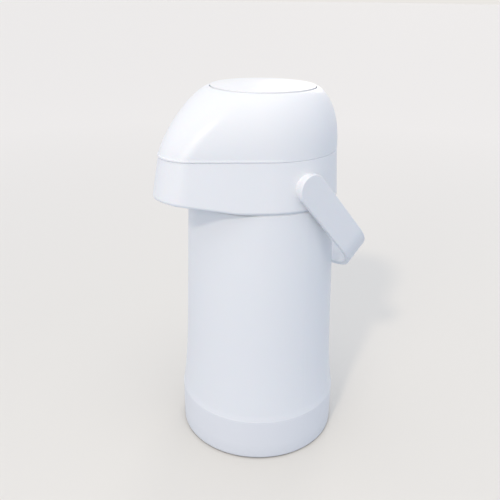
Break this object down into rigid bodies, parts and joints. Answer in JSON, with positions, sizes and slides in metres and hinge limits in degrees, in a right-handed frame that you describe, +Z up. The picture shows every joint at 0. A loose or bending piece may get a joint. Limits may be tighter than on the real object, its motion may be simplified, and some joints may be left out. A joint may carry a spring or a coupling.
{
  "type": "pump pot",
  "caption": "Pump vacuum pot: tapered jacket on a screw-on foot, glass liner, beaked head with a domed push button over a bellows pump, and a swinging bail handle.",
  "frame": {"origin": "centre of the foot ring, on the surface the pot stands on", "axes": "+Z up along the pot's axis; the beak points to -Y; the handle hangs on the +Y side and turns about X"},
  "size_m": [0.1338, 0.1723, 0.299],
  "materials": {
    "white_shell": "injection-moulded, semi-gloss white",
    "inner_plastic": "injection-moulded, natural off-white",
    "silvered_glass": "blown glass, silvered on the vacuum side",
    "grey_rubber": "moulded silicone rubber, matt grey",
    "bright_steel": "drawn stainless steel"
  },
  "bodies": {
    "pot": {"jacket": "white_shell", "base_cup": "white_shell", "liner_outer_glass": "silvered_glass", "liner_inner_glass": "silvered_glass", "liner_inner_bottom": "silvered_glass", "liner_inner_shoulder": "silvered_glass", "liner_inner_neck": "silvered_glass", "liner_cushion": "grey_rubber", "neck_gasket": "grey_rubber", "neck_ring": "inner_plastic"},
    "head": {"head_housing": "white_shell", "dome_cover": "white_shell", "stopper": "inner_plastic", "stopper_seal": "grey_rubber", "dip_tube": "inner_plastic", "tube_grommet": "grey_rubber", "outlet_pipe": "inner_plastic", "spout_nozzle": "white_shell", "beak_cover": "white_shell", "bellows_seat": "inner_plastic", "bellows_clamp": "inner_plastic", "air_valve": "grey_rubber", "seat_screws": "bright_steel", "stopper_screws": "bright_steel", "bellows": "grey_rubber", "return_spring": "bright_steel"},
    "button": {"push_button": "white_shell", "bellows_cap": "inner_plastic", "intake_valve": "grey_rubber"},
    "tip_ball": {"check_ball": "bright_steel"},
    "handle": {"bail_handle": "white_shell"}
  },
  "joints": [
    {"name": "head_lift", "type": "slide", "parent": "pot", "child": "head", "axis": [0, 0, 1], "range_m": [0, 0.215]},
    {"name": "button_press", "type": "slide", "parent": "head", "child": "button", "axis": [0, 0, -1], "range_m": [0, 0.021], "stiffness_N_per_m": 250, "springref_m": -0.012, "deforming": ["bellows", "return_spring"]},
    {"name": "ball_lift", "type": "slide", "parent": "head", "child": "tip_ball", "axis": [0, 0, 1], "range_m": [0, 0.0034]},
    {"name": "handle_swing", "type": "hinge", "parent": "head", "child": "handle", "pos_m": [0, -0.002, 0.2305], "axis": [1, 0, 0], "range_deg": [0, 277]}
  ]
}
